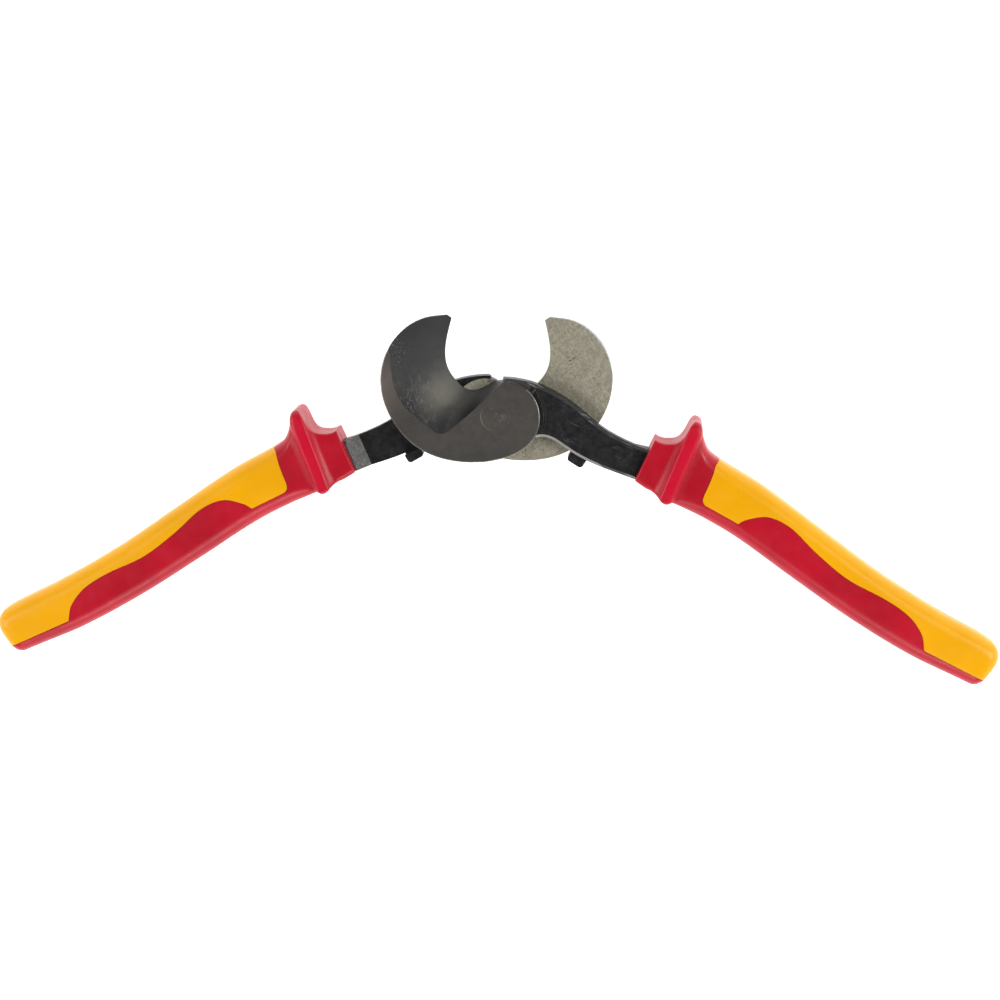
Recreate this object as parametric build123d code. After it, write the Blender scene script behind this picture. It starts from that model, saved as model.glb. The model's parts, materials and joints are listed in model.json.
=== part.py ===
from build123d import *
import math
import os

# Insulated cable cutters: two identical forged levers crossed on one rivet, each with a jaw,
# a shank, a tang and a two-part insulating sleeve.
#
# The front lever is drawn about the rivet's centre with the tool open: jaw up and to the left,
# handle down and to the right, mating face on the plane z = 0 and outer face towards +Z.
# The rear lever is the same lever turned half a turn about Y.
# At the end everything moves so that the origin is the bottom centre of the whole tool's box.

os.makedirs("parts", exist_ok=True)

# ---- driving dimensions, millimetres ----
HEAD_T = 8.0              # thickness of each jaw and head
MATE_GAP = 0.03           # each mating face stands this far off the shear plane
EDGE_LAND = 0.25          # narrow land left along the cutting edge
RIVET_R = 4.5             # shank of the rivet
RIVET_HEAD_R = 5.35       # flush, flared ends of the rivet
RIVET_FLARE = 1.3         # depth of each flared end
RUNNING_GAP = 0.05        # radial clearance of the rivet in the rear lever
SHANK_ANGLE = -24.4       # direction of the shank from +X, degrees
SHANK_FACE = 6.6          # height of the shank's outer face beside the head
SHANK_RELIEF = 0.5        # the shank is this much clear of the shear plane
SHANK_CHAMFER = 1.1       # along the two edges of the shank's outer face
RIM_ROUND = 0.5           # rounding of the jaw's and head's outer edge
RAMP_START = 52.3         # along the shank, where its mating side starts to cross the shear plane
RAMP_END = 57.6           # and where it is centred on that plane
TANG_HALF_T = 3.6         # half thickness of the tang
TANG_W = 10.0             # width of the tang inside the sleeve
TANG_START = 57.3         # the tang alone starts here, just inside the sleeve
SHANK_END_STEP = 0.8      # the shank's outer face stands this far over the tang where they meet
SHANK_START = 18.0        # along the shank, where its outer face starts to slope down
SHANK_PROFILE_END = 70.0  # and the far end of its side profile, inside the sleeve
SHANK_PROFILE_BACK = -20.0  # the side profile reaches this far behind the rivet
SHANK_ROOT = (2.0, -9.8)  # where the shank's outline closes, inside the head
LUG_HALF_T = 3.4          # the stop lug reaches this far either side of the shear plane
LUG_CORNER = (27.1, -16.4)  # its lower corner nearest the rivet
LUG_ANGLE = -31.15        # direction of its striking face from +X, in line with the rivet
LUG_LENGTH = 6.7
LUG_DEPTH = 3.5           # how far it stands out below the shank
LUG_ROOT_DEPTH = 7.5      # how far its root reaches up into the shank
LUG_ROOT_START = 1.5      # the root starts this far above the striking face
LUG_ROUND = 1.4           # rounding of its two lower corners
GRIP_HALF_T = 8.0         # half thickness of the grip
GRIP_ROUND = 5.0          # rounding of the grip's long edges
COLLAR_HALF_T = 8.0       # half thickness of the collar that covers the shank
GUARD_HALF_T = 10.5       # half thickness of the guard flange
GUARD_T = 3.8             # thickness of the guard flange
GUARD_TOP = (76.2, 0.3)   # tip of the guard's horn
GUARD_BOTTOM = (65.1, -31.8)
GUARD_CORNER = 3.0        # rounding of the guard's four corners, seen along the grip
GUARD_ROUND = 1.5         # rounding of its two rims
SKIN_T = 2.4              # thickness of the outer cover over the inner sleeve
TUBE_WALL = 1.6           # wall of the outer cover over the inner sleeve's forward tube
TUBE_LENGTH = 30.0
TUBE_WIDTH = 15.2
TUBE_CENTRE = (73.5, -21.6)

# ---- outlines in the plane of the tool, drawn from the jaw's tip towards the handle ----
TIP_INNER = (-17.8, 36.3)
TIP_OUTER = (-19.5, 37.4)
RIM = [(-23.5, 37.0), (-34.8, 32.4), (-42.2, 21.9), (-43.8, 12.5), (-40.4, -0.3),
       (-28.5, -13.3), (-12.5, -17.9), (2.1, -16.4)]
HEAD = [(2.1, -16.4), (9.8, -13.0), (15.8, -6.2), (16.9, 1.2), (14.8, 7.4), (9.6, 12.0), (5.0, 13.3),
        (1.2, 13.0), (-3.0, 12.0)]
THROAT_INSIDE = (-4.2, 10.9)
EDGE_UPPER = [(-16.4, 41.0), (-18.8, 31.5), (-19.9, 24.5), (-18.3, 16.0), (-13.5, 10.3)]
EDGE_LOWER = [(-13.5, 10.3), (-9.4, 8.8), (-5.0, 10.1), (-0.1, 13.2), (4.0, 16.5)]
EDGE_TURN = (0.77, -0.64)   # direction of the edge where its two spans meet
HOLLOW_UPPER = [(-45.0, 36.0), (-41.0, 25.0), (-39.1, 13.0), (-36.2, 5.2), (-28.4, -2.6),
                (-23.2, -6.3), (-20.4, -7.2)]
HOLLOW_LOWER = [(-20.4, -7.2), (-17.0, -5.6), (-9.5, 1.0), (-1.0, 9.6), (2.0, 12.4), (7.0, 15.8)]
HOLLOW_TURN = (1.0, 0.03)   # direction of the hollow's border where its two spans meet
THROAT_TOP = 48.0
CUT_SIZE = 400.0            # larger than any part, for the shapes that only cut
LONG_EDGE = 30.0            # only the shank's two long edges are longer than this
SHANK_UPPER = [(2.5, 14.4), (9.5, 13.8), (17.0, 11.8), (24.0, 8.5), (31.7, 3.4), (39.5, -2.9),
               (47.2, -7.4), (58.6, -11.9)]
SHANK_LOWER = [(53.3, -23.3), (40.0, -18.6), (32.4, -15.2), (25.4, -10.8), (20.4, -8.0),
               (17.0, -7.6), (13.6, -9.8)]
TANG_LINE = [(52.0, -15.0), (66.0, -20.2), (80.3, -25.6), (102.4, -38.0), (126.0, -55.2),
             (150.9, -71.6), (168.0, -81.0)]
GRIP_UPPER = [(78.3, -3.3), (79.0, -7.4), (81.3, -12.1), (86.4, -15.8), (101.0, -24.3),
              (124.6, -41.0), (148.3, -57.8), (171.9, -72.0), (187.6, -80.2)]
GRIP_END_TOP_ARC = (193.4, -84.0)
GRIP_END_TOP = (195.5, -89.0)
GRIP_END_BOTTOM = (190.4, -98.2)
GRIP_END_BOTTOM_ARC = (188.6, -99.8)
GRIP_LOWER = [(185.8, -99.9), (164.7, -90.8), (141.2, -77.6), (117.7, -62.0), (94.1, -45.6),
              (74.9, -35.0), (66.0, -30.8)]
COLLAR_MOUTH = [(53.3, -23.4), (60.6, -7.2)]
COLLAR_BITE = [(60.6, -7.2), (65.5, -8.7), (70.2, -7.3), (72.9, -2.8), (74.8, -0.3)]
COLLAR_INSIDE = (76.5, -8.0)   # where the collar's outline closes, inside the grip
COLLAR_LOWER = [(63.6, -30.8), (61.3, -28.1), (57.8, -26.3), (53.3, -23.4)]
PANEL_NECK = [(87.5, -13.2), (85.2, -14.8), (83.9, -16.3), (83.0, -19.5), (81.5, -23.6), (78.7, -30.2)]
PANEL_CORNER = (80.2, -31.9)
PANEL_STRAIGHT = (93.0, -38.6)
PANEL_CRESCENT = [(93.0, -38.6), (96.3, -36.8), (104.3, -35.6), (113.0, -39.6), (123.0, -49.0),
                  (135.2, -58.7), (149.6, -66.0), (158.9, -72.3), (164.0, -79.2), (165.4, -85.7)]
PANEL_TAIL = (189.0, -97.1)
PANEL_OUTSIDE = [(205.0, -97.1), (205.0, -13.2)]   # beyond the grip, where the panel's outline closes


def plan(*edges):
    """A flat face in the tool's plane from edges that join end to end."""
    return make_face(Wire(list(edges)))


def slab(face, low, high):
    """The face made solid from height low to height high."""
    return extrude(Pos(0, 0, low) * face, amount=high - low, dir=(0, 0, 1))


def polyline_edges(*points):
    """Straight edges through the points, one after another."""
    return [Line(start, end) for start, end in zip(points, points[1:])]


def throat_face(upper, lower, turn):
    """The open throat at one height: a curve in two smooth spans, closed far above the jaw."""
    right_end = lower[-1]
    left_end = upper[0]
    closing = polyline_edges(right_end, (right_end[0], THROAT_TOP), (left_end[0], THROAT_TOP), left_end)
    first = Spline(*upper, tangents=[(upper[1][0] - upper[0][0], upper[1][1] - upper[0][1]), turn])
    second = Spline(*lower, tangents=[turn, (lower[-1][0] - lower[-2][0], lower[-1][1] - lower[-2][1])])
    return plan(first, second, *closing)


def hollow_cutter():
    """What the grinding takes away: the throat itself and the hollow face that rises from the edge."""
    low_face = throat_face(EDGE_UPPER, EDGE_LOWER, EDGE_TURN)
    high_face = throat_face(HOLLOW_UPPER, HOLLOW_LOWER, HOLLOW_TURN)
    through = slab(low_face, -1.0, EDGE_LAND)
    hollow = loft([Pos(0, 0, EDGE_LAND) * low_face, Pos(0, 0, HEAD_T) * high_face], ruled=True)
    above = slab(high_face, HEAD_T, HEAD_T + 2.0)
    return [through, hollow, above]


def blade():
    """Jaw and round head of one lever, with its hollow-ground cutting edge."""
    outline = plan(
        Line(TIP_INNER, TIP_OUTER),
        Line(TIP_OUTER, RIM[0]),
        Spline(*RIM),
        Spline(*HEAD),
        *polyline_edges(HEAD[-1], THROAT_INSIDE, TIP_INNER),
    )
    body = slab(outline, MATE_GAP, HEAD_T)
    outer_edges = body.faces().sort_by(Axis.Z)[-1].edges()
    rounded = [edge for edge in outer_edges if edge.geom_type == GeomType.BSPLINE]
    return fillet(rounded, RIM_ROUND)


def tang_outline():
    """A strip of even width round the tang's line, with a round end."""
    return trace(Spline(*TANG_LINE), line_width=TANG_W)


def shank_and_tang():
    """The shank, cut from its outline seen from the front and from its outline seen from the side."""
    upper_end = SHANK_UPPER[-1]
    lower_end = SHANK_LOWER[0]
    outline = plan(
        Line(SHANK_ROOT, SHANK_UPPER[0]),
        Spline(*SHANK_UPPER),
        Line(upper_end, lower_end),
        Spline(*SHANK_LOWER),
        Line(SHANK_LOWER[-1], SHANK_ROOT),
    )
    front_view = slab(outline, -HEAD_T, HEAD_T)
    side_points = [
        (SHANK_PROFILE_BACK, SHANK_RELIEF),
        (RAMP_START, SHANK_RELIEF),
        (RAMP_END, -TANG_HALF_T),
        (SHANK_PROFILE_END, -TANG_HALF_T),
        (SHANK_PROFILE_END, TANG_HALF_T + SHANK_END_STEP),
        (RAMP_END, TANG_HALF_T + SHANK_END_STEP),
        (SHANK_START, SHANK_FACE),
        (SHANK_PROFILE_BACK, SHANK_FACE),
    ]
    angle = math.radians(SHANK_ANGLE)
    side_plane = Plane(origin=(0, 0, 0), x_dir=(math.cos(angle), math.sin(angle), 0),
                       z_dir=(math.sin(angle), -math.cos(angle), 0))
    side_face = side_plane * make_face(Polyline(*side_points, close=True))
    side_view = extrude(side_face, amount=CUT_SIZE / 2, both=True)
    shank = largest(front_view & side_view)
    long_edges = [edge for edge in shank.edges()
                  if edge.length > LONG_EDGE and edge.position_at(0.5).Z > SHANK_FACE / 2]
    shank = chamfer(long_edges, SHANK_CHAMFER)
    tang = slab(tang_outline(), -TANG_HALF_T, TANG_HALF_T)
    beyond = Pos(TANG_START, 0) * Rectangle(CUT_SIZE, CUT_SIZE, align=(Align.MIN, Align.CENTER))
    return shank, tang & slab(beyond, -TANG_HALF_T, TANG_HALF_T)


def stop_lug():
    """The block under the shank that stops the levers at both ends of their travel."""
    block = Box(LUG_LENGTH, LUG_DEPTH, 2 * LUG_HALF_T, align=(Align.MIN, Align.MIN, Align.CENTER))
    block = fillet(block.edges().filter_by(Axis.Z).group_by(Axis.Y)[0], LUG_ROUND)
    root_box = Box(LUG_LENGTH, LUG_ROOT_DEPTH - LUG_ROOT_START, LUG_HALF_T - SHANK_RELIEF,
                   align=(Align.MIN, Align.MIN, Align.MIN))
    root = Pos(0, LUG_ROOT_START, SHANK_RELIEF) * root_box
    return Pos(*LUG_CORNER) * Rot(0, 0, LUG_ANGLE) * (block + root)


def rivet_profile(gap):
    """The rivet, or with a gap the hole for it: a shank flared at both flush ends."""
    shank_r = RIVET_R + gap
    head_r = RIVET_HEAD_R + gap
    neck = HEAD_T - RIVET_FLARE
    outline = make_face(Polyline(
        (0, -HEAD_T), (head_r, -HEAD_T), (shank_r, -neck), (shank_r, neck),
        (head_r, HEAD_T), (0, HEAD_T), close=True))
    return revolve(Plane.XZ * outline, axis=Axis.Z)


def lever(hole):
    """One forged lever: jaw, head, shank, tang and stop lug."""
    body = blade()
    shank, tang = shank_and_tang()
    body = body + shank + stop_lug() + tang
    for cutter in hollow_cutter():
        body = body - cutter
    return body - hole


def grip_outline():
    """The grip seen from the front, without its guard."""
    return plan(
        Spline(*GRIP_UPPER),
        ThreePointArc(GRIP_UPPER[-1], GRIP_END_TOP_ARC, GRIP_END_TOP),
        Line(GRIP_END_TOP, GRIP_END_BOTTOM),
        ThreePointArc(GRIP_END_BOTTOM, GRIP_END_BOTTOM_ARC, GRIP_LOWER[0]),
        Spline(*GRIP_LOWER),
        Line(GRIP_LOWER[-1], GRIP_UPPER[0]),
    )


def grip():
    """The grip, with its long edges rounded."""
    block = slab(grip_outline(), -GRIP_HALF_T, GRIP_HALF_T)
    faces = block.faces().sort_by(Axis.Z)
    return fillet(list(faces[0].edges()) + list(faces[-1].edges()), GRIP_ROUND)


def collar():
    """The cover of the shank between the black steel and the guard, with its bite on top."""
    outline = plan(
        Line(*COLLAR_MOUTH),
        Spline(*COLLAR_BITE),
        Line(COLLAR_BITE[-1], COLLAR_INSIDE),
        Line(COLLAR_INSIDE, COLLAR_LOWER[0]),
        Spline(*COLLAR_LOWER),
    )
    return slab(outline, -COLLAR_HALF_T, COLLAR_HALF_T)


def guard():
    """The oval flange round the grip, with a tall horn on the outer side and a small lip inside."""
    rise = (GUARD_TOP[0] - GUARD_BOTTOM[0], GUARD_TOP[1] - GUARD_BOTTOM[1])
    height = math.hypot(*rise)
    middle = ((GUARD_TOP[0] + GUARD_BOTTOM[0]) / 2, (GUARD_TOP[1] + GUARD_BOTTOM[1]) / 2, 0)
    flange_plane = Plane(origin=middle, x_dir=(rise[0], rise[1], 0), z_dir=(rise[1], -rise[0], 0))
    face = flange_plane * RectangleRounded(height, 2 * GUARD_HALF_T, GUARD_CORNER)
    flange = extrude(face, amount=GUARD_T / 2, both=True)
    normal = flange_plane.z_dir
    rims = [edge for edge in flange.edges()
            if abs((edge.position_at(0.5) - Vector(*middle)).dot(normal)) > GUARD_T / 4]
    return fillet(rims, GUARD_ROUND)


def panel_prism():
    """Everything on the outer side of the line where the two colours of the grip meet."""
    face = plan(
        Spline(*PANEL_NECK),
        *polyline_edges(PANEL_NECK[-1], PANEL_CORNER, PANEL_STRAIGHT),
        Spline(*PANEL_CRESCENT),
        Line(PANEL_CRESCENT[-1], PANEL_TAIL),
        *polyline_edges(PANEL_TAIL, *PANEL_OUTSIDE, PANEL_NECK[0]),
    )
    return slab(face, -2 * GRIP_HALF_T, 2 * GRIP_HALF_T)


def inset(points, distance):
    """The points of a curve moved to its right-hand side by a distance."""
    moved = []
    for index, (x, y) in enumerate(points):
        before = points[max(index - 1, 0)]
        after = points[min(index + 1, len(points) - 1)]
        run = (after[0] - before[0], after[1] - before[1])
        length = math.hypot(*run)
        moved.append((x + distance * run[1] / length, y - distance * run[0] / length))
    return moved


def inner_core():
    """The inner sleeve under the outer cover, and its tube forward through the collar."""
    upper = inset(GRIP_UPPER, SKIN_T)
    lower = inset(GRIP_LOWER, SKIN_T)
    face = plan(Spline(*upper), Line(upper[-1], lower[0]), Spline(*lower), Line(lower[-1], upper[0]))
    core = slab(face, -GRIP_HALF_T + SKIN_T, GRIP_HALF_T - SKIN_T)
    tube_box = Box(TUBE_LENGTH, TUBE_WIDTH, 2 * (COLLAR_HALF_T - TUBE_WALL))
    tube = Pos(*TUBE_CENTRE, 0) * Rot(0, 0, SHANK_ANGLE) * tube_box
    return core + tube


def sleeve(steel):
    """The inner sleeve and the outer cover of one grip, fitted round the lever's tang."""
    grip_solid = grip()
    envelope = grip_solid + collar() + guard()
    panel = panel_prism()
    core = inner_core()
    inner = (grip_solid & panel) + core - steel
    outer = envelope - panel - core - steel
    return inner, outer


def largest(shape):
    """The one solid of a shape, leaving no crumbs from cutting."""
    return max(shape.solids(), key=lambda solid: solid.volume)


def main():
    rivet = rivet_profile(0)
    front_lever = largest(lever(rivet))
    inner, outer = sleeve(front_lever)
    plain_lever = largest(lever(rivet_profile(RUNNING_GAP)))
    half_turn = Rot(0, 180, 0)
    nodes = {
        "front_lever": front_lever,
        "front_inner_sleeve": largest(inner),
        "front_outer_cover": largest(outer),
        "pivot_rivet": rivet,
        "rear_lever": half_turn * plain_lever,
        "rear_inner_sleeve": half_turn * largest(inner),
        "rear_outer_cover": half_turn * largest(outer),
    }
    boxes = [shape.bounding_box() for shape in nodes.values()]
    low = [min(tuple(box.min)[axis] for box in boxes) for axis in range(3)]
    high = [max(tuple(box.max)[axis] for box in boxes) for axis in range(3)]
    rivet_place = (-(low[0] + high[0]) / 2, -(low[1] + high[1]) / 2, -low[2])
    print("rivet centre", [round(value, 3) for value in rivet_place])
    print("size", [round(high[axis] - low[axis], 2) for axis in range(3)])
    for name, shape in nodes.items():
        export_step(Pos(*rivet_place) * shape, f"parts/{name}.step")


main()
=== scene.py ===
import json
import math

import bmesh
import bpy
import numpy as np
from mathutils import Matrix, Vector


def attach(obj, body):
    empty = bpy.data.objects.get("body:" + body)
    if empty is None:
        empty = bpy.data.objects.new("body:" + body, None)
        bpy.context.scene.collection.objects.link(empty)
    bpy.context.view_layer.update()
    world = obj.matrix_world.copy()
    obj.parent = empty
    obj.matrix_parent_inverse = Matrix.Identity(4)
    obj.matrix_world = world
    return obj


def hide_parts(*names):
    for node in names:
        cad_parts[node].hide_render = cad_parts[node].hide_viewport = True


# An insulated cable cutter lying open on a pale table.
# Lengths in the tables below are millimetres from the rivet's centre, with the front lever as drawn:
# jaw up and to the left, handle down and to the right, z = 0 on the plane where the two levers meet.
# The rear lever's pieces are the same pieces after half a turn about Y.

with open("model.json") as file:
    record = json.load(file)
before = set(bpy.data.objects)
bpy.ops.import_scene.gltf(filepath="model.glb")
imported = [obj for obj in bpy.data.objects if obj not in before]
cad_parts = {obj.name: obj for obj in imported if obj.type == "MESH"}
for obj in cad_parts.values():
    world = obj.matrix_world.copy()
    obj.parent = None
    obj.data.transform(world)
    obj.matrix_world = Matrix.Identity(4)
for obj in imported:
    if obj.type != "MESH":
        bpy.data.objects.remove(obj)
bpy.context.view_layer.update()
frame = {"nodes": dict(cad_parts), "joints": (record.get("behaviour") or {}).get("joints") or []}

MM = 0.001
PIVOT = Vector(frame["joints"][0]["pos_m"])
HALF_TURN = {"front": Matrix.Identity(4), "rear": Matrix.Rotation(math.pi, 4, "Y")}

# ---- levers ----
SHANK_ANGLE = -24.4                # direction of the shank, in degrees
SHANK_TURN = math.radians(SHANK_ANGLE)
HEAD_T = 8.0                       # the jaw's outer face is this far from the shear plane
THROAT_CENTRE = (-12.0, 28.0)      # the hollow faces look towards this point
HEAD_REACH = 17.3                  # radius of the round head
RAMP_RANGE = (52.0, 60.0)          # along the shank, the bare band where it crosses to the middle
BRIGHT_RANGE = (12.0, 44.0)        # along the shank, where its inner edge is worn bright
RIVET_HEAD_R = 5.45
MILLED_RINGS = [(18.3, 0.16), (19.1, 0.12)]   # radius and half width of the ring marks beside the head
RIM_BAND = 0.55                    # the rounded rim starts this far below the jaw's outer face
JAW_START = -5.0                   # left of this a face belongs to the jaw
WALL_START = -15.0                 # left of this the jaw's upper wall takes the bright rim finish: worn steel with a painted highlight
CHAMFER_FLOOR = 3.0                # the shank's worn chamfers lie above this height

# ---- sleeve ribs: (top point, bottom point, half depth, top edge radius, bottom edge radius) ----
COLLAR_DEPTH = 8.0
GUARD_DEPTH = 10.5
GRIP_DEPTH = 8.0
RIBS = [
    ((60.6, -7.2), (53.3, -23.4), COLLAR_DEPTH, 0.9, 2.0),
    ((62.4, -8.2), (55.4, -24.8), COLLAR_DEPTH, 0.9, 2.0),
    ((64.9, -8.7), (57.8, -26.3), COLLAR_DEPTH, 0.9, 2.0),
    ((67.4, -8.6), (59.6, -27.1), COLLAR_DEPTH + 0.05, 0.9, 1.8),
    ((69.4, -7.9), (60.7, -27.8), COLLAR_DEPTH + 0.35, 1.0, 1.6),
    ((71.0, -6.3), (61.6, -28.5), COLLAR_DEPTH + 0.9, 1.2, 1.4),
    ((72.3, -4.2), (62.3, -29.2), COLLAR_DEPTH + 1.5, 1.4, 1.3),
    ((73.5, -1.8), (62.8, -29.8), COLLAR_DEPTH + 2.1, 1.6, 1.2),
    ((74.6, -0.3), (63.2, -30.4), GUARD_DEPTH - 0.05, 1.8, 1.2),
    ((75.6, 0.3), (63.8, -30.9), GUARD_DEPTH, 2.6, 1.2),
    ((77.0, -0.1), (64.7, -31.5), GUARD_DEPTH, 3.0, 1.2),
    ((78.0, -1.3), (65.8, -31.7), GUARD_DEPTH, 3.0, 1.2),
    ((78.4, -3.3), (66.9, -31.4), GUARD_DEPTH - 0.4, 2.8, 1.2),
    ((78.5, -4.8), (67.7, -31.4), GUARD_DEPTH - 1.6, 2.6, 1.6),
    ((78.9, -6.8), (68.7, -31.9), GRIP_DEPTH + 0.3, 3.0, 2.4),
    ((79.8, -9.6), (70.4, -32.8), GRIP_DEPTH, 3.8, 3.4),
    ((81.3, -12.1), (72.4, -33.8), GRIP_DEPTH, 4.4, 4.2),
    ((83.4, -13.9), (74.9, -35.0), GRIP_DEPTH, 4.8, 4.8),
    ((86.4, -15.8), (78.0, -36.5), GRIP_DEPTH, 5.2, 5.2),
    ((101.0, -24.3), (90.6, -43.4), GRIP_DEPTH, 5.4, 5.4),
    ((124.6, -41.0), (113.2, -58.9), GRIP_DEPTH, 5.4, 5.4),
    ((148.3, -57.8), (137.3, -75.1), GRIP_DEPTH, 5.4, 5.4),
    ((171.9, -72.0), (161.0, -88.8), GRIP_DEPTH, 5.4, 5.4),
    ((187.6, -80.2), (177.5, -96.3), GRIP_DEPTH, 5.4, 5.4),
    ((197.1, -86.2), (187.2, -100.7), GRIP_DEPTH, 5.0, 5.0),
]
END_ROUND_TOP = 7.0       # rounding of the grip's end, towards the top
END_ROUND_BOTTOM = 4.0    # towards the bottom
END_ROUND_DEPTH = 5.0     # and towards the two flat sides
MOUTH_ROUND = 0.5
CROWN = 0.35              # how far the flat sides swell
EDGE_SOFTENING = 0.6      # share of the end's fall-back that the long edges' radii lose
EDGE_LEAST = 0.4          # but not below this radius
SPACING = 0.8             # between sampled points of the sleeve and of the colours' border
MOUTH_SHARES = (0.15, 0.5, 1.0)   # where the extra stations at the mouth lie, as shares of its rounding
END_STEPS = 14

# ---- the line where the two colours meet, and the tang's tunnel ----
PANEL_NECK = [(88.5, -12.0), (86.6, -14.0), (84.9, -15.1), (83.7, -16.6), (82.9, -19.5), (81.5, -23.6),
              (79.7, -28.0)]
PANEL_CORNER = (78.5, -31.0)
PANEL_STRAIGHT = [(80.9, -32.2), (93.0, -38.6)]
PANEL_CRESCENT = [(93.0, -38.6), (96.3, -36.8), (104.3, -35.6), (113.0, -39.6), (123.0, -49.0),
                  (135.2, -58.7), (149.6, -66.0), (158.9, -72.3), (164.0, -79.2), (165.4, -85.7)]
PANEL_TAIL = (189.0, -97.1)
PANEL_OUTSIDE = [(210.0, -97.1), (210.0, -10.0)]
PANEL_CORNER_STEPS = 8
PRISM_HALF_HEIGHT = 30.0  # well past the sleeve's two flat sides
SHARP_ANGLE = 35          # degrees; sharper edges aren't shaded smooth
JOINT_LINE = 0.07         # half width of the fine groove between the two colours
TANG_LINE = [(50.5, -14.4), (66.0, -20.2), (80.3, -25.6), (102.4, -38.0), (126.0, -55.2),
             (150.9, -71.6), (172.6, -83.5)]
TANG_HALF_W = 5.1
TANG_HALF_T = 3.7
TANG_ROUND = 0.6
TANG_SPACING = 4.0


def place(side, points):
    """Points in millimetres about the rivet, as places in the frame for the front or rear lever."""
    turn = Matrix.Translation(PIVOT) @ HALF_TURN[side]
    return [turn @ (Vector(point) * MM) for point in points]


def smooth_rows(rows, spacing):
    """Rows of numbers joined by curves that never overshoot, sampled about every spacing."""
    rows = np.array(rows, float)
    reach = np.abs(np.diff(rows, axis=0))[:, :4]
    steps = np.maximum(np.hypot(reach[:, 0], reach[:, 1]), np.hypot(reach[:, 2], reach[:, 3]))
    slopes = np.diff(rows, axis=0) / steps[:, None]
    knots = np.zeros_like(rows)
    knots[0] = slopes[0]
    knots[-1] = slopes[-1]
    before = slopes[:-1]
    after = slopes[1:]
    same_way = before * after > 0
    total = np.where(same_way, before + after, 1.0)
    knots[1:-1] = np.where(same_way, 2 * before * after / total, 0.0)
    sampled = []
    for index, length in enumerate(steps):
        count = max(2, math.ceil(length / spacing))
        for share in (np.arange(count) / count).tolist():
            a = rows[index]
            b = rows[index + 1]
            start = 2 * share ** 3 - 3 * share ** 2 + 1
            leave = share ** 3 - 2 * share ** 2 + share
            arrive = share ** 3 - share ** 2
            sampled.append(start * a + (1 - start) * b
                           + length * (leave * knots[index] + arrive * knots[index + 1]))
    sampled.append(rows[-1])
    return [row.tolist() for row in sampled]


def curve_through(points, spacing):
    """A round curve through the points, without the last one."""
    points = [Vector(point) for point in points]
    padded = [2 * points[0] - points[1], *points, 2 * points[-1] - points[-2]]
    made = []
    for a, b, c, d in zip(padded, padded[1:], padded[2:], padded[3:]):
        count = max(2, math.ceil((c - b).length / spacing))
        for step in range(count):
            t = step / count
            made.append(0.5 * (2 * b + (c - a) * t + (2 * a - 5 * b + 4 * c - d) * t ** 2
                               + (3 * b - a - 3 * c + d) * t ** 3))
    return made


def corner(start, tip, end, count):
    """A rounded corner from start to end, pulled towards the tip."""
    start, tip, end = Vector(start), Vector(tip), Vector(end)
    return [start.lerp(tip, t).lerp(tip.lerp(end, t), t) for t in (np.arange(count) / count).tolist()]


def round_off(distance, radius):
    """How far a rounded edge falls back at a distance from the end face."""
    if distance >= radius:
        return 0.0
    return radius - math.sqrt(radius ** 2 - (radius - distance) ** 2)


ARC_STEPS = 7
FLAT_STEPS = 6


def section(half_w, half_d, top_radius, bottom_radius, crown):
    """A rounded rectangle about the origin, x towards the top, with slightly crowned long sides."""
    points = []
    for quarter in range(4):
        wide = 1 if quarter in (0, 3) else -1
        deep = 1 if quarter in (0, 1) else -1
        radius = min(top_radius if wide > 0 else bottom_radius, half_w * 0.98, half_d * 0.98)
        centre = Vector((wide * (half_w - radius), deep * (half_d - radius)))
        for step in range(ARC_STEPS + 1):
            angle = (quarter + step / ARC_STEPS) * math.pi / 2
            points.append(centre + radius * Vector((math.cos(angle), math.sin(angle))))
    filled = []
    for index, point in enumerate(points):
        filled.append(point)
        if index % (ARC_STEPS + 1) == ARC_STEPS:
            after = points[(index + 1) % len(points)]
            for step in range(1, FLAT_STEPS):
                filled.append(point.lerp(after, step / FLAT_STEPS))
    for point in filled:
        point.y *= 1 - crown * (point.x / half_w) ** 2 / half_d
    return filled


def loft(name, stations, side):
    """A closed tube through stations of (top, bottom, half depth, two edge radii, crown)."""
    points = []
    for top, bottom, *shape in stations:
        middle = (top + bottom) / 2
        across = (top - bottom) / 2
        for x, y in section(across.length, *shape):
            flat = middle + across.normalized() * x
            points.append((flat.x, flat.y, y))
    ring = len(points) // len(stations)
    faces = []
    for row in range(len(stations) - 1):
        for column in range(ring):
            beside = (column + 1) % ring
            faces.append((row * ring + column, row * ring + beside,
                          (row + 1) * ring + beside, (row + 1) * ring + column))
    faces.append(tuple(range(ring))[::-1])
    faces.append(tuple(range(len(points) - ring, len(points))))
    return solid(name, place(side, points), faces)


def solid(name, points, faces):
    """A mesh object from points in the frame, with its faces looking outwards."""
    mesh = bpy.data.meshes.new(name)
    mesh.from_pydata(points, [], faces)
    mesh.validate()
    made = bpy.data.objects.new(name, mesh)
    bpy.context.scene.collection.objects.link(made)
    face_outwards(mesh)
    return made


def face_outwards(mesh):
    """Turns all faces the same way, outwards."""
    work = bmesh.new()
    work.from_mesh(mesh)
    bmesh.ops.recalc_face_normals(work, faces=work.faces)
    work.to_mesh(mesh)
    work.free()


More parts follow.
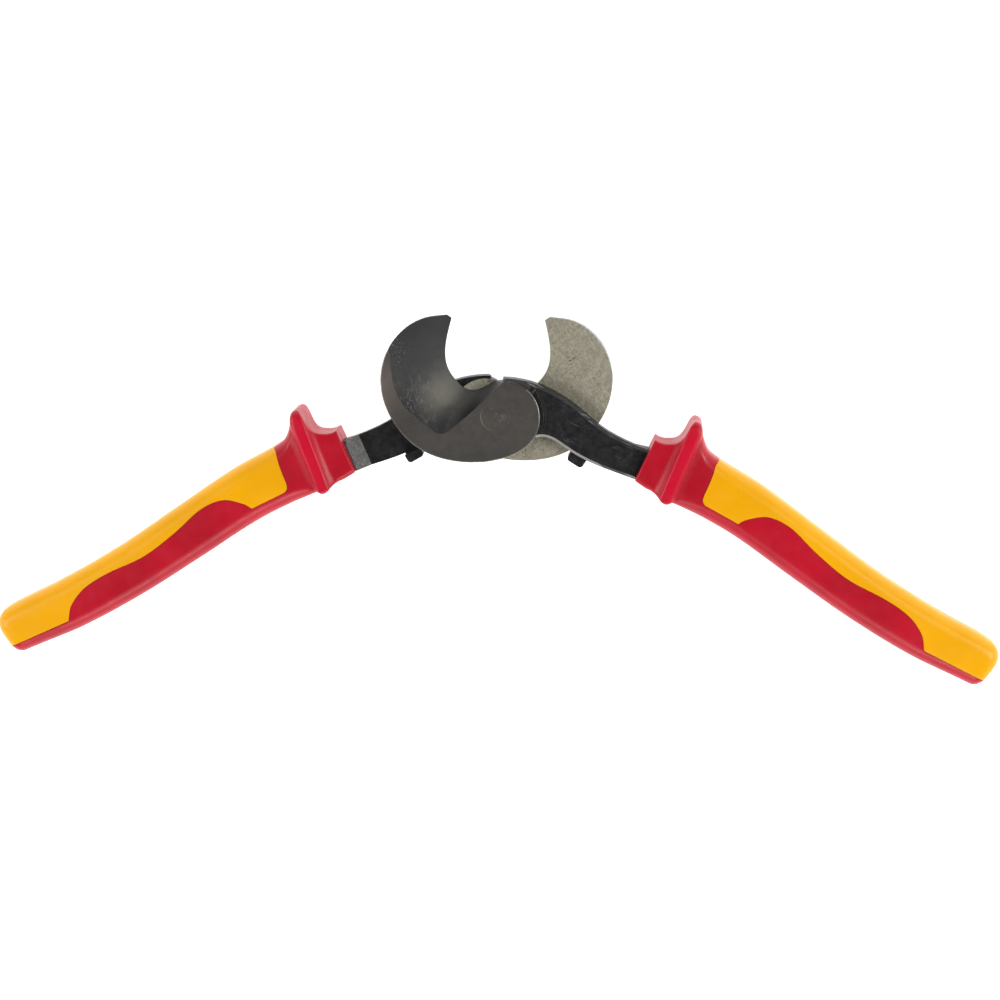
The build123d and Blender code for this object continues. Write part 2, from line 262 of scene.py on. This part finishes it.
def sleeve_stations():
    """Stations of the whole sleeve, rounded off at the mouth and at the end of the grip."""
    rows = smooth_rows([(*top, *bottom, *shape) for top, bottom, *shape in RIBS], SPACING)
    stations = []
    run = 0.0
    for row in rows:
        top = Vector(row[0:2])
        bottom = Vector(row[2:4])
        if stations:
            run += ((top + bottom) / 2 - (stations[-1][1] + stations[-1][2]) / 2).length
        stations.append([run, top, bottom, *row[4:]])
    made = []
    for from_mouth, top, bottom, depth, top_radius, bottom_radius in refine_ends(stations):
        across = (top - bottom).normalized()
        from_end = run - from_mouth
        mouth = round_off(from_mouth, MOUTH_ROUND)
        top_cut = mouth + round_off(from_end, END_ROUND_TOP)
        bottom_cut = mouth + round_off(from_end, END_ROUND_BOTTOM)
        depth_cut = mouth + round_off(from_end, END_ROUND_DEPTH)
        top_edge = max(top_radius - EDGE_SOFTENING * depth_cut, EDGE_LEAST)
        bottom_edge = max(bottom_radius - EDGE_SOFTENING * depth_cut, EDGE_LEAST)
        made.append((top - across * top_cut, bottom + across * bottom_cut, depth - depth_cut,
                     top_edge, bottom_edge, CROWN))
    return made


def refine_ends(stations):
    """Extra stations close to both ends, where the edges are rounded."""
    def between(a, b, share):
        return [p + (q - p) * share for p, q in zip(a, b)]
    first, second = stations[0], stations[1]
    mouth = [between(first, second, MOUTH_ROUND / second[0] * part) for part in MOUTH_SHARES]
    last = stations[-1]
    kept = [s for s in stations if last[0] - s[0] > END_ROUND_TOP + 0.5]
    base = kept[-1]
    gap = last[0] - base[0]
    end = []
    for step in range(1, END_STEPS + 1):
        angle = step / END_STEPS * math.pi / 2
        end.append(between(base, last, 1 - END_ROUND_TOP / gap * (1 - math.sin(angle))))
    return [first, *mouth, *kept[1:], *end]


def tunnel_stations():
    """Stations of the hole for the tang."""
    points = [Vector(p) for p in TANG_LINE]
    line = curve_through(points, TANG_SPACING) + [points[-1]]
    made = []
    for index, point in enumerate(line):
        ahead = line[min(index + 1, len(line) - 1)]
        behind = line[max(index - 1, 0)]
        along = (ahead - behind).normalized()
        across = Vector((-along.y, along.x)) * TANG_HALF_W
        made.append((point + across, point - across, TANG_HALF_T, TANG_ROUND, TANG_ROUND, 0.0))
    return made


def panel_outline():
    """The border of the outer colour's area, seen from the front."""
    outline = curve_through(PANEL_NECK, SPACING)
    outline += corner(PANEL_NECK[-1], PANEL_CORNER, PANEL_STRAIGHT[0], PANEL_CORNER_STEPS)
    outline += [Vector(p) for p in PANEL_STRAIGHT[:1]]
    outline += curve_through(PANEL_CRESCENT, SPACING)
    outline += [Vector(PANEL_CRESCENT[-1]), Vector(PANEL_TAIL)]
    outline += [Vector(p) for p in PANEL_OUTSIDE]
    return outline


def grown(outline, distance):
    """The outline moved outwards by a distance; a negative one shrinks it."""
    made = []
    for index, point in enumerate(outline):
        ahead = (outline[(index + 1) % len(outline)] - point).normalized()
        behind = (point - outline[index - 1]).normalized()
        along = (ahead + behind).normalized()
        stretch = max(0.5, along.dot(ahead))
        made.append(point + Vector((along.y, -along.x)) * distance / stretch)
    return made


def prism(name, outline, half_height, side):
    """The outline made solid to both sides of the shear plane."""
    count = len(outline)
    points = [(p.x, p.y, height) for height in (-half_height, half_height) for p in outline]
    faces = [(i, (i + 1) % count, count + (i + 1) % count, count + i) for i in range(count)]
    faces += [tuple(range(count)), tuple(range(count, 2 * count))]
    return solid(name, place(side, points), faces)


def cut(made, tool, operation):
    """Cuts an object with a tool, both in place, and keeps the result as its mesh."""
    step = made.modifiers.new("cut", "BOOLEAN")
    step.operation = operation
    step.solver = "EXACT"
    step.object = tool
    graph = bpy.context.evaluated_depsgraph_get()
    mesh = bpy.data.meshes.new_from_object(made.evaluated_get(graph))
    made.modifiers.remove(step)
    made.data = mesh


def copy_of(source, name):
    """Another object with its own copy of the mesh."""
    made = bpy.data.objects.new(name, source.data.copy())
    bpy.context.scene.collection.objects.link(made)
    return made


def shade(made, angle):
    """Smooth shading with edges sharper than the angle kept."""
    mesh = made.data
    mesh.shade_smooth()
    mesh.set_sharp_from_angle(angle=math.radians(angle))


def sleeve(side, red, yellow):
    """The two-colour sleeve of one lever: the inner sleeve's showing panel and the outer cover."""
    blank = loft(f"{side}_sleeve_blank", sleeve_stations(), side)
    tunnel = loft(f"{side}_tunnel", tunnel_stations(), side)
    cut(blank, tunnel, "DIFFERENCE")
    outline = panel_outline()
    wider = prism("wider", grown(outline, JOINT_LINE), PRISM_HALF_HEIGHT, side)
    narrower = prism("narrower", grown(outline, -JOINT_LINE), PRISM_HALF_HEIGHT, side)
    cover = copy_of(blank, f"{side}_cover_shell")
    panel = copy_of(blank, f"{side}_grip_panel")
    cut(cover, wider, "DIFFERENCE")
    cut(panel, narrower, "INTERSECT")
    for tool in (blank, tunnel, wider, narrower):
        bpy.data.objects.remove(tool)
    cover.data.materials.clear()
    panel.data.materials.clear()
    cover.data.materials.append(red)
    panel.data.materials.append(yellow)
    for piece, slot, node in ((cover, "red_cover", "outer_cover"), (panel, "yellow_sleeve", "inner_sleeve")):
        shade(piece, SHARP_ANGLE)
        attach(piece, f"{side}_half")
        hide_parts(f"{side}_{node}")


# ---- materials ----
WARM_RIM = (0.17, 0.135, 0.12)   # a warmer, lighter colour mixed onto the jaw's far side
RIDGE_START = 9.6                # the guard's ridge is everything further than this from the shear plane
RANGE_SOCKETS = ("From Min", "From Max", "To Min", "To Max")
# raised is the guard ridge's colour; the red one is lighter, a painted highlight
RED = {"light": (0.50, 0.006, 0.022), "dark": (0.42, 0.005, 0.017), "scuff": (0.16, 0.006, 0.010),
       "raised": (0.58, 0.005, 0.028)}
YELLOW = {"light": (0.88, 0.405, 0.0), "dark": (0.83, 0.38, 0.0), "scuff": (0.40, 0.17, 0.0),
          "raised": (0.88, 0.405, 0.0)}


class Finish:
    """A node material being made: one shader, with helpers for the textures that feed it."""

    def __init__(self, name, **constants):
        self.material = bpy.data.materials.new(name)
        self.material.use_nodes = True
        self.tree = self.material.node_tree
        self.shader = self.tree.nodes["Principled BSDF"]
        for socket, value in constants.items():
            self.shader.inputs[socket.replace("_", " ")].default_value = value
        self.coordinates = self.add("ShaderNodeTexCoord").outputs["Object"]

    def add(self, kind, **settings):
        node = self.tree.nodes.new(kind)
        for key, value in settings.items():
            setattr(node, key, value)
        return node

    def feed(self, node, socket, value):
        """Sets a socket to a number, or links it to another node's output."""
        if isinstance(value, bpy.types.NodeSocket):
            self.tree.links.new(value, node.inputs[socket])
        else:
            node.inputs[socket].default_value = value

    def math(self, operation, first, second=0.0, clamp=False):
        node = self.add("ShaderNodeMath", operation=operation, use_clamp=clamp)
        self.feed(node, 0, first)
        self.feed(node, 1, second)
        return node.outputs[0]

    def along(self, turn, squeeze):
        """Coordinates in which a texture runs along a direction, so many times finer across it."""
        node = self.add("ShaderNodeMapping", vector_type="TEXTURE")
        node.inputs["Rotation"].default_value = (0, 0, math.radians(turn))
        node.inputs["Scale"].default_value = (1.0, 1 / squeeze, 1.0)
        self.tree.links.new(self.coordinates, node.inputs["Vector"])
        return node.outputs["Vector"]

    def noise(self, size, detail=3.0, roughness=0.55, vector=None):
        """Noise with features of about this size, in millimetres."""
        node = self.add("ShaderNodeTexNoise")
        node.inputs["Scale"].default_value = 1 / (size * MM)
        node.inputs["Detail"].default_value = detail
        node.inputs["Roughness"].default_value = roughness
        self.tree.links.new(vector or self.coordinates, node.inputs["Vector"])
        return node.outputs["Fac"]

    def between(self, value, low, high, out_low=0.0, out_high=1.0):
        """A value's smooth rise from out_low at low to out_high at high."""
        node = self.add("ShaderNodeMapRange", interpolation_type="SMOOTHSTEP")
        for socket, number in zip(RANGE_SOCKETS, (low, high, out_low, out_high)):
            node.inputs[socket].default_value = number
        self.feed(node, "Value", value)
        return node.outputs["Result"]

    def mix(self, share, first, second):
        """A mix of two colours, each a tuple or another node's output."""
        node = self.add("ShaderNodeMix", data_type="RGBA")
        self.feed(node, "Factor", share)
        for socket, value in (("A", first), ("B", second)):
            colour_input = [s for s in node.inputs if s.name == socket and s.type == "RGBA"][0]
            if isinstance(value, bpy.types.NodeSocket):
                self.tree.links.new(value, colour_input)
            else:
                colour_input.default_value = (*value, 1.0)
        return [s for s in node.outputs if s.type == "RGBA"][0]

    def scratches(self, turn, length, width, share):
        """Broken fine lines along one direction; share is how many show, from 0 to 1."""
        lines = self.noise(length, 2.0, 0.6, self.along(turn, length / width))
        patches = self.noise(length * 0.7, 1.0)
        shown = self.between(lines, 0.70 - 0.15 * share, 0.78 - 0.15 * share)
        return self.math("MULTIPLY", shown, self.between(patches, 0.42, 0.62))

    def distance_from(self, x, y):
        """Distance in millimetres from a place on the tool, given from the rivet, seen from the front."""
        moved = self.add("ShaderNodeVectorMath", operation="SUBTRACT")
        self.tree.links.new(self.coordinates, moved.inputs[0])
        moved.inputs[1].default_value = PIVOT + Vector((x, y, 0)) * MM
        flat = self.add("ShaderNodeVectorMath", operation="MULTIPLY")
        self.tree.links.new(moved.outputs[0], flat.inputs[0])
        flat.inputs[1].default_value = (1 / MM, 1 / MM, 0)
        length = self.add("ShaderNodeVectorMath", operation="LENGTH")
        self.tree.links.new(flat.outputs[0], length.inputs[0])
        return length.outputs["Value"]

    def raised(self, low, high):
        """0 up to one distance from the shear plane and 1 from another, in millimetres."""
        parts = self.add("ShaderNodeSeparateXYZ")
        self.tree.links.new(self.coordinates, parts.inputs[0])
        height = self.math("ABSOLUTE", self.math("SUBTRACT", parts.outputs["Z"], PIVOT.z))
        return self.between(height, low * MM, high * MM)

    def ring(self, radius, half_width):
        """1 on a circle round the rivet and 0 away from it."""
        away = self.math("ABSOLUTE", self.math("SUBTRACT", self.distance_from(0, 0), radius))
        return self.between(away, half_width, 0.0)

    def near(self, x, y, reach):
        """1 at a place on the tool, given from the rivet, falling to 0 at a distance; all in millimetres."""
        return self.between(self.distance_from(x, y), reach, 0.0)

    def relief(self, *layers):
        """Bump from (height output, depth in millimetres) layers, one over another."""
        normal = None
        for height, depth in layers:
            node = self.add("ShaderNodeBump")
            node.inputs["Strength"].default_value = 1.0
            node.inputs["Distance"].default_value = abs(depth) * MM
            node.invert = depth < 0
            self.tree.links.new(height, node.inputs["Height"])
            if normal is not None:
                self.tree.links.new(normal, node.inputs["Normal"])
            normal = node.outputs["Normal"]
        self.tree.links.new(normal, self.shader.inputs["Normal"])

    def colour(self, value):
        self.tree.links.new(value, self.shader.inputs["Base Color"])

    def roughness(self, value):
        self.tree.links.new(value, self.shader.inputs["Roughness"])


def plastic(name, light, dark, scuff, raised):
    """Moulded plastic: a fine matt grain, faint clouds, a few scuffs, and the guard's ridge in the raised
    colour, which on the red is lighter as a painted highlight.
    """
    finish = Finish(name, Specular_IOR_Level=0.30)
    clouds = finish.between(finish.noise(22.0, 2.0), 0.35, 0.65)
    # the guard's ridge takes the raised colour, a painted highlight where it is lighter
    base = finish.mix(finish.raised(RIDGE_START, GUARD_DEPTH), finish.mix(clouds, light, dark), raised)
    specks = finish.between(finish.noise(0.9, 1.0), 0.74, 0.80)
    rare = finish.math("MULTIPLY", specks, finish.between(finish.noise(14.0, 1.0), 0.52, 0.62))
    marks = finish.math("MULTIPLY", finish.scratches(25, 6.0, 0.12, 0.35), 0.5)
    finish.colour(finish.mix(finish.math("MAXIMUM", rare, marks), base, scuff))
    finish.roughness(finish.between(finish.noise(5.0, 3.0), 0.3, 0.7, 0.30, 0.40))
    grain = finish.noise(0.35, 2.0)
    waves = finish.noise(7.0, 1.0)
    finish.relief((grain, 0.012), (waves, 0.10))
    return finish.material


def black_lacquer(worn):
    """Black lacquer over forged steel, with scratches down to grey, most of them on worn edges."""
    name = "black_lacquer_worn_edge" if worn else "black_lacquer"
    finish = Finish(name, Specular_IOR_Level=0.4)
    clouds = finish.between(finish.noise(4.0, 4.0), 0.35, 0.7)
    base = finish.mix(clouds, (0.0065, 0.0065, 0.0075), (0.0105, 0.0105, 0.0115))
    along = finish.scratches(SHANK_ANGLE, 12.0, 0.30 if worn else 0.12, 1.2 if worn else 0.25)
    askew = finish.scratches(70.0, 4.0, 0.10, 0.2)
    bare = finish.math("MAXIMUM", along, askew)
    finish.colour(finish.mix(finish.math("MULTIPLY", bare, 0.85), base, (0.26, 0.255, 0.245)))
    finish.roughness(finish.between(finish.noise(2.2, 4.0), 0.3, 0.7, 0.34, 0.50))
    forging = finish.noise(2.6, 3.0, 0.6)
    grain = finish.noise(0.3, 2.0)
    rings = finish.math("ADD", *(finish.ring(radius, half_width) for radius, half_width in MILLED_RINGS))
    finish.relief((forging, 0.02), (grain, 0.008), (bare, -0.02), (rings, -0.10))
    return finish.material


def satin_steel(name, light, dark, rough):
    """The jaw's dark outer face: oiled satin steel, with a hairline round the rivet's flush head, a painted
    highlight on its lower left, and painted shade in the centre dimple.
    """
    finish = Finish(name, Metallic=0.30, Specular_IOR_Level=0.5)
    clouds = finish.between(finish.noise(18.0, 2.0), 0.3, 0.7)
    base = finish.mix(clouds, dark, light)
    marks = finish.scratches(-38.0, 5.0, 0.10, 0.2)
    wear = finish.math("MULTIPLY", finish.scratches(22.0, 3.0, 0.09, 1.2), finish.near(2.0, -1.0, 4.0))
    hairline = finish.ring(RIVET_HEAD_R, 0.13)
    # painted highlight on the hairline's lower left
    painted_arc_highlight = finish.math("MULTIPLY", hairline, finish.near(-5.5, -2.5, 7.0))
    dimple = finish.between(finish.distance_from(0.4, -0.2), 0.45, 0.2)
    shown = finish.math("MAXIMUM", finish.math("MAXIMUM", marks, wear), painted_arc_highlight)
    warm = finish.math("MULTIPLY", finish.near(-48.0, 10.0, 19.0), 0.9)
    warmed = finish.mix(warm, base, WARM_RIM)
    pale = finish.mix(finish.math("MULTIPLY", shown, 0.75), warmed, (0.30, 0.29, 0.27))
    # the dimple's darker colour is painted shade in the recess
    finish.colour(finish.mix(finish.math("MULTIPLY", dimple, 0.6), pale, (0.02, 0.02, 0.02)))
    finish.roughness(finish.between(finish.noise(3.0, 4.0), 0.3, 0.7, rough - 0.05, rough + 0.06))
    grain = finish.noise(0.25, 3.0)
    finish.relief((grain, 0.012), (finish.noise(6.0, 2.0), 0.03), (hairline, -0.03), (dimple, -0.10))
    return finish.material


def bright_edge():
    """Steel worn bright, with a painted highlight over the jaw's upper left: the jaw's rounded rim, its
    upper wall and the shank's inner edge.
    """
    finish = Finish("bright_rim", Metallic=0.85)
    wear = finish.between(finish.noise(9.0, 2.0), 0.3, 0.7, 0.10, 0.35)
    # wear noise, together with a painted highlight: a lighter patch over the jaw's upper left
    wear_and_painted_highlight = finish.math("MAXIMUM", finish.near(-38.0, 32.0, 22.0), wear)
    finish.colour(finish.mix(wear_and_painted_highlight, (0.15, 0.14, 0.13), (0.38, 0.37, 0.35)))
    finish.roughness(finish.between(finish.noise(2.0, 3.0), 0.3, 0.7, 0.22, 0.36))
    finish.relief((finish.noise(0.4, 2.0), 0.008))
    return finish.material


def hollow_steel():
    """The hollow-ground face: dark, with a painted sheen at the foot of the throat, painted shade on its
    flank and specks at its far side.
    """
    finish = Finish("hollow_ground_steel", Metallic=0.1, Specular_IOR_Level=0.22)
    clouds = finish.between(finish.noise(14.0, 2.0), 0.3, 0.7)
    dark = finish.mix(clouds, (0.028, 0.028, 0.030), (0.037, 0.036, 0.035))
    # painted sheen: the face is lighter towards the foot of the throat
    painted_sheen = finish.math("MULTIPLY", finish.near(-20.0, 8.0, 14.0), finish.between(clouds, -0.5, 0.6))
    base = finish.mix(painted_sheen, dark, (0.155, 0.148, 0.125))
    # painted shade: the flank is darker
    painted_flank_shade = finish.near(-9.0, -1.0, 12.0)
    base = finish.mix(finish.math("MULTIPLY", painted_flank_shade, 0.9), base, (0.008, 0.008, 0.010))
    far_side = finish.math("MAXIMUM", finish.near(-41.0, 24.0, 11.0), finish.near(-33.0, 2.0, 11.0))
    specks = finish.between(finish.noise(0.8, 2.0, 0.6, finish.along(115.0, 2.0)), 0.60, 0.68)
    shown = finish.math("MULTIPLY", specks, far_side)
    lines = finish.math("MULTIPLY", finish.scratches(-76.0, 4.0, 0.20, 1.0), finish.near(-29.0, 4.0, 17.0))
    bright = finish.math("MAXIMUM", shown, lines)
    finish.colour(finish.mix(finish.math("MULTIPLY", bright, 0.8), base, (0.24, 0.235, 0.215)))
    finish.roughness(finish.between(finish.noise(1.5, 4.0), 0.3, 0.7, 0.40, 0.50))
    grinding = finish.noise(2.0, 3.0, 0.6, finish.along(-62.0, 12.0))
    finish.relief((grinding, 0.008), (finish.noise(0.4, 2.0), 0.010))
    return finish.material


def ground_steel(name, light, dark):
    """Bare ground steel with fine crossed grinding lines and dark pits."""
    finish = Finish(name, Metallic=0.25, Specular_IOR_Level=0.5)
    clouds = finish.between(finish.noise(0.9, 5.0, 0.75), 0.35, 0.65)
    base = finish.mix(clouds, dark, light)
    lines = finish.between(finish.noise(4.0, 3.0, 0.75, finish.along(-60.0, 8.0)), 0.50, 0.66)
    others = finish.between(finish.noise(4.0, 3.0, 0.75, finish.along(48.0, 8.0)), 0.50, 0.66)
    grained = finish.mix(finish.math("MULTIPLY", lines, 0.5), base, tuple(1.45 * c for c in light))
    grained = finish.mix(finish.math("MULTIPLY", others, 0.5), grained, tuple(0.60 * c for c in dark))
    pits = finish.between(finish.noise(0.9, 2.0, 0.5, finish.along(30.0, 2.0)), 0.60, 0.66)
    patches = finish.between(finish.noise(6.0, 2.0), 0.50, 0.62)
    shown = finish.math("MULTIPLY", pits, patches)
    finish.colour(finish.mix(finish.math("MULTIPLY", shown, 0.9), grained, (0.05, 0.045, 0.038)))
    finish.roughness(finish.between(finish.noise(2.0, 4.0), 0.3, 0.7, 0.40, 0.54))
    finish.relief((lines, 0.010), (others, 0.008), (shown, -0.04))
    return finish.material


def dress_levers():
    """Gives each face of the carried-over levers and rivet its finish, painted highlights and shade
    included.
    """
    finishes = {
        "black": black_lacquer(False),
        "edge": black_lacquer(True),
        "outer": satin_steel("dark_satin_steel", (0.074, 0.067, 0.059), (0.060, 0.055, 0.049), 0.46),
        "rim": bright_edge(),
        "hollow": hollow_steel(),
        "mating": ground_steel("ground_mating_face", (0.39, 0.36, 0.275), (0.27, 0.247, 0.185)),
        "ramp": ground_steel("bare_ramp", (0.125, 0.122, 0.115), (0.055, 0.054, 0.052)),
    }
    order = list(finishes)
    for side in ("front", "rear"):
        lever = frame["nodes"][f"{side}_lever"]
        lever.data.materials.clear()
        for key in order:
            lever.data.materials.append(finishes[key])
        back = (Matrix.Translation(PIVOT) @ HALF_TURN[side]).inverted()
        for face in lever.data.polygons:
            centre = (back @ face.center) / MM
            normal = back.to_3x3() @ face.normal
            face.material_index = order.index(lever_region(centre, normal))
    rivet = frame["nodes"]["pivot_rivet"]
    rivet.data.materials.clear()
    rivet.data.materials.append(finishes["outer"])


def lever_region(centre, normal):
    """Which finish a face of the lever has, from where it is and which way it looks."""
    along = centre.x * math.cos(SHANK_TURN) + centre.y * math.sin(SHANK_TURN)
    on_head = Vector((centre.x, centre.y)).length < HEAD_REACH or centre.x < JAW_START
    flat_down = normal.z < -0.95 and abs(centre.z) < 0.2
    if on_head and flat_down:
        return "mating"
    to_throat = Vector((THROAT_CENTRE[0] - centre.x, THROAT_CENTRE[1] - centre.y))
    faces_throat = to_throat.dot(Vector((normal.x, normal.y))) > 0
    if on_head and faces_throat and 0.02 < normal.z < 0.97:
        return "hollow"
    # the upper wall takes the rim finish, with its painted highlight
    upper_wall = abs(normal.z) < 0.05 and normal.y > 0.2 and normal.x < 0 and centre.x < WALL_START
    if on_head and (upper_wall or centre.z > HEAD_T - RIM_BAND and 0.05 < normal.z < 0.96):
        return "rim"
    if on_head and centre.z > 0.02 and (centre.z > HEAD_T - RIM_BAND or centre.x < 0.0 or normal.z > -0.2):
        return "outer"
    if RAMP_RANGE[0] < along < RAMP_RANGE[1] and normal.z < -0.2:
        return "ramp"
    if 0.4 < normal.z < 0.95 and centre.z > CHAMFER_FLOOR:
        inner_side = normal.y < -0.3 and BRIGHT_RANGE[0] < along < BRIGHT_RANGE[1]
        return "rim" if inner_side else "edge"
    return "black"


# ---- stage ----
CAMERA_AIM = Vector((2.3, -32.5, 5.7)) * MM   # from the rivet
CAMERA_DISTANCE = 0.85
CAMERA_YAW = math.radians(3.65)
CAMERA_PITCH = math.radians(11.5)
CAMERA_ROLL = math.radians(1.05)
CAMERA_LENS = 80.17
TABLE_HALF = 2.0
GLOW_INNER = 0.30
GLOW_OUTER = 0.75
GLOW_STRENGTH = 0.95
TABLE_GREY = 0.60
SKY_BAND = (0.05, 0.45, 2.0, 0.05)   # two heights, and the strength at each; it falls between them
LIGHTS = [
    # name, place in metres, side in metres, power in watts
    ("left_box", (-1.0, -0.1, 0.85), 0.6, 7.5),
    ("right_box", (1.0, 0.1, 0.85), 0.6, 10.0),
    ("front_box", (0.1, -1.1, 0.9), 0.6, 7.0),
    ("back_box", (-0.5, 1.1, 0.7), 0.5, 2.0),
]


def stage():
    """A pale table that glows round the tool, the sky and four soft lights."""
    corners = [(x * TABLE_HALF, y * TABLE_HALF, 0.0) for x, y in ((-1, -1), (1, -1), (1, 1), (-1, 1))]
    floor = solid("table_top", corners, [(0, 1, 2, 3)])
    paint = Finish("table_white", Roughness=0.9, Base_Color=(TABLE_GREY, TABLE_GREY, TABLE_GREY, 1.0),
                   Emission_Color=(1.0, 1.0, 1.0, 1.0))
    away = paint.add("ShaderNodeVectorMath", operation="LENGTH")
    paint.tree.links.new(paint.coordinates, away.inputs[0])
    glow = paint.between(away.outputs["Value"], GLOW_INNER, GLOW_OUTER, GLOW_STRENGTH, 0.0)
    paint.tree.links.new(glow, paint.shader.inputs["Emission Strength"])
    floor.data.materials.append(paint.material)
    sky()
    for light in LIGHTS:
        soft_box(*light)


def sky():
    """A white sky, bright round the horizon and dark overhead."""
    world = bpy.data.worlds.new("soft_sky")
    bpy.context.scene.world = world
    world.use_nodes = True
    background = world.node_tree.nodes["Background"]
    background.inputs["Color"].default_value = (1.0, 1.0, 1.0, 1.0)
    direction = world.node_tree.nodes.new("ShaderNodeTexCoord")
    parts = world.node_tree.nodes.new("ShaderNodeSeparateXYZ")
    band = world.node_tree.nodes.new("ShaderNodeMapRange")
    for socket, number in zip(RANGE_SOCKETS, SKY_BAND):
        band.inputs[socket].default_value = number
    world.node_tree.links.new(direction.outputs["Generated"], parts.inputs[0])
    world.node_tree.links.new(parts.outputs["Z"], band.inputs["Value"])
    world.node_tree.links.new(band.outputs["Result"], background.inputs["Strength"])


def soft_box(name, where, size, power):
    """A square light aimed at the middle of the tool."""
    data = bpy.data.lights.new(name, "AREA")
    data.size = size
    data.energy = power
    light = bpy.data.objects.new(name, data)
    bpy.context.scene.collection.objects.link(light)
    light.location = where
    light.rotation_euler = (-Vector(where)).to_track_quat("-Z", "Y").to_euler()


def camera():
    """The camera, from the angles at which it looks at a point near the rivet."""
    data = bpy.data.cameras.new("camera")
    data.lens = CAMERA_LENS
    made = bpy.data.objects.new("camera", data)
    bpy.context.scene.collection.objects.link(made)
    turn = (Matrix.Rotation(CAMERA_YAW, 4, "Y") @ Matrix.Rotation(-CAMERA_PITCH, 4, "X")
            @ Matrix.Rotation(CAMERA_ROLL, 4, "Z"))
    back = turn.to_3x3() @ Vector((0, 0, CAMERA_DISTANCE))
    made.matrix_world = Matrix.Translation(PIVOT + CAMERA_AIM + back) @ turn
    bpy.context.scene.camera = made


def main():
    red = plastic("red_plastic", **RED)
    yellow = plastic("yellow_plastic", **YELLOW)
    for side in ("front", "rear"):
        sleeve(side, red, yellow)
    dress_levers()
    stage()
    camera()
    bpy.context.scene.view_settings.view_transform = "Standard"


main()
